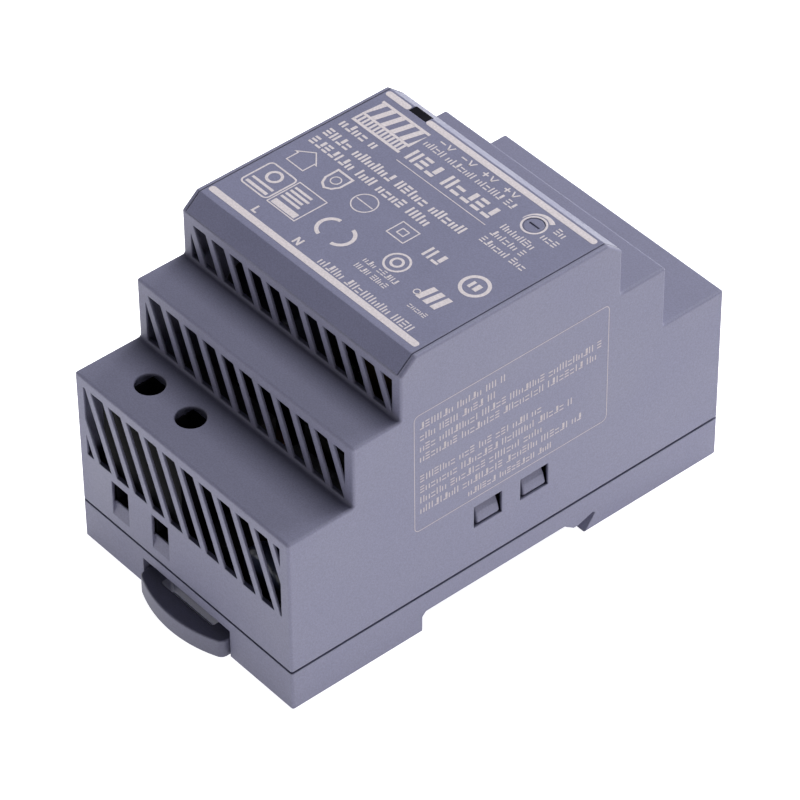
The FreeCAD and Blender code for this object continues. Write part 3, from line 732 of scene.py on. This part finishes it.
def print_side():
    """Outlined field with greeked lines on the right side."""
    p = Print((side_face, 0, 0), (0, 1, 0), (0, 0, 1))
    p.box_line(-20.0, 20.1, 19.7, 43.9, 1.0, 0.13)
    # foot and right end of each line
    lines = ((40.7, -0.7), (38.4, -3.0), (36.1, 19.2), (34.0, 18.0),
             (29.8, 6.1), (27.6, 13.0), (25.4, 6.3), (23.2, 15.5))
    line = 0.22
    for seed, (foot, end) in enumerate(lines, 30):
        p.words(-18.8, end, foot, 1.35, seed, line)
    p.words(-9.0, 8.7, 20.9, 1.2, 40, line)
    p.finish("side_print", side_ink, "housing_plastic")


# ================= clip spring =================

def clip_spring():
    """Wire coil with closed ends in place of the CAD spring."""
    centre_x = (spring_low.x + spring_high.x) / 2
    centre_z = (spring_low.z + spring_high.z) / 2
    radius = (spring_high.x - spring_low.x) / 2 - spring_wire
    start, end = spring_low.y + spring_wire, spring_high.y - spring_wire
    steps, sides = 28, 10
    mesh = bmesh.new()
    rows = []
    count = spring_turns * steps
    for i in range(count + 1):
        share = i / count
        angle = 2 * math.pi * spring_turns * share
        # the first and last turns lie closer together
        eased = share + 0.055 * math.sin(2 * math.pi * share)
        y = start + (end - start) * eased
        outward = Vector((math.cos(angle), 0, math.sin(angle)))
        centre = Vector((centre_x, y, centre_z)) + outward * radius
        ring = []
        for k in range(sides):
            turn = 2 * math.pi * k / sides
            offset = outward * math.cos(turn) + Vector((0, math.sin(turn), 0))
            ring.append(mesh.verts.new((centre + offset * spring_wire) * MM))
        rows.append(ring)
    for a, b in zip(rows, rows[1:]):
        for k in range(sides):
            m = (k + 1) % sides
            mesh.faces.new((a[k], a[m], b[m], b[k]))
    mesh.faces.new(rows[0][::-1])
    mesh.faces.new(rows[-1])
    bmesh.ops.recalc_face_normals(mesh, faces=mesh.faces)
    data = bpy.data.meshes.new("clip_spring_wire")
    mesh.to_mesh(data)
    mesh.free()
    for face in data.polygons:
        face.use_smooth = True
    data.materials.append(materials["spring_steel"])
    piece = bpy.data.objects.new("clip_spring_wire", data)
    bpy.context.scene.collection.objects.link(piece)
    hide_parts("clip_spring")
    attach(piece, "housing")
    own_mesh(piece)


# ================= floor, light, camera =================

def floor():
    """Pale floor that glows like a light table, except under the middle of the object, where the dark
    patch is painted shade.
    """
    half_side = 4.0
    mesh = bmesh.new()
    bmesh.ops.create_grid(mesh, x_segments=2, y_segments=2, size=half_side)
    data = bpy.data.meshes.new("floor")
    mesh.to_mesh(data)
    mesh.free()
    s = Surface("floor_paper", specular=0.2)
    cloud = s.noise(60.0, 2.0)
    s.colour(s.blend(cloud, (0.90, 0.90, 0.90), (0.93, 0.93, 0.93)))
    s.gloss(cloud, 0.7, 0.8)
    s.link(s.blend(cloud, (0.98, 0.98, 0.98), (1.0, 1.0, 1.0)), s.shader.inputs["Emission Color"])
    # no glow under the middle of the object: painted shade beneath it
    glow = s.outside(*(cad_box[1][i] - painted_shade_inset[i] * MM for i in (0, 1)))
    s.link(s.range(glow, 0.0, 1.0, 0.0, floor_glow), s.shader.inputs["Emission Strength"])
    data.materials.append(s.material)
    piece = bpy.data.objects.new("floor", data)
    piece.location.z = cad_box[0][2] - 0.02 * MM
    bpy.context.scene.collection.objects.link(piece)


def softbox(name, turn, height, size, power, colour=(1, 1, 1)):
    """Soft box aimed at the origin: turn from -Y towards +X and height in degrees, size in metres."""
    data = bpy.data.lights.new(name, "AREA")
    data.shape = "RECTANGLE"
    data.size, data.size_y = size
    data.energy = power
    data.color = colour
    lamp = bpy.data.objects.new(name, data)
    t, h = math.radians(turn), math.radians(height)
    direction = Vector((math.cos(h) * math.sin(t), -math.cos(h) * math.cos(t), math.sin(h)))
    lamp.location = direction * softbox_distance
    lamp.rotation_euler = direction.to_track_quat("Z", "Y").to_euler()
    bpy.context.scene.collection.objects.link(lamp)


def light():
    """Soft boxes above and behind, weak wide ones near the floor, and a dim room."""
    world = bpy.data.worlds.new("studio")
    world.use_nodes = True
    background = world.node_tree.nodes["Background"]
    background.inputs["Color"].default_value = (0.97, 0.98, 1.0, 1.0)
    background.inputs["Strength"].default_value = 0.12
    bpy.context.scene.world = world
    low_box = (1.2, 0.2)
    warm = (1.0, 0.955, 0.905)
    softbox("overhead", 180, 73, (0.7, 0.6), 10.3)
    softbox("back", 180, 33, (0.9, 0.5), 12.0)
    softbox("low_right", 92, 5, low_box, 3.2, warm)
    softbox("low_front", 0, 4, low_box, 2.2, warm)
    softbox("low_left", 270, 6, low_box, 3.0, warm)


def camera():
    """Camera that looks at view_centre from view_distance, turned from -Y towards +X."""
    t, h, r = (math.radians(a) for a in (view_turn, view_height, view_roll))
    back = Vector((math.cos(h) * math.sin(t), -math.cos(h) * math.cos(t), math.sin(h)))
    level = Vector((math.cos(t), math.sin(t), 0))
    upright = back.cross(level)
    right = level * math.cos(r) + upright * math.sin(r)
    up = back.cross(right)
    target = view_centre + right * view_shift[0] + up * view_shift[1]
    data = bpy.data.cameras.new("camera")
    data.lens = lens
    data.sensor_width = 36.0
    data.clip_start = 0.05
    data.clip_end = 20.0
    eye = bpy.data.objects.new("camera", data)
    turned = Matrix((right, up, back)).transposed().to_4x4()
    eye.matrix_world = Matrix.Translation((target + back * view_distance) * MM) @ turned
    bpy.context.scene.collection.objects.link(eye)
    bpy.context.scene.camera = eye


dress_cad_nodes()
print_stripes()
print_badge()
print_text()
print_terminal_marks()
print_symbols()
print_adjuster_ring()
print_side()
clip_spring()
floor()
light()
camera()
bpy.context.scene.view_settings.view_transform = "Standard"
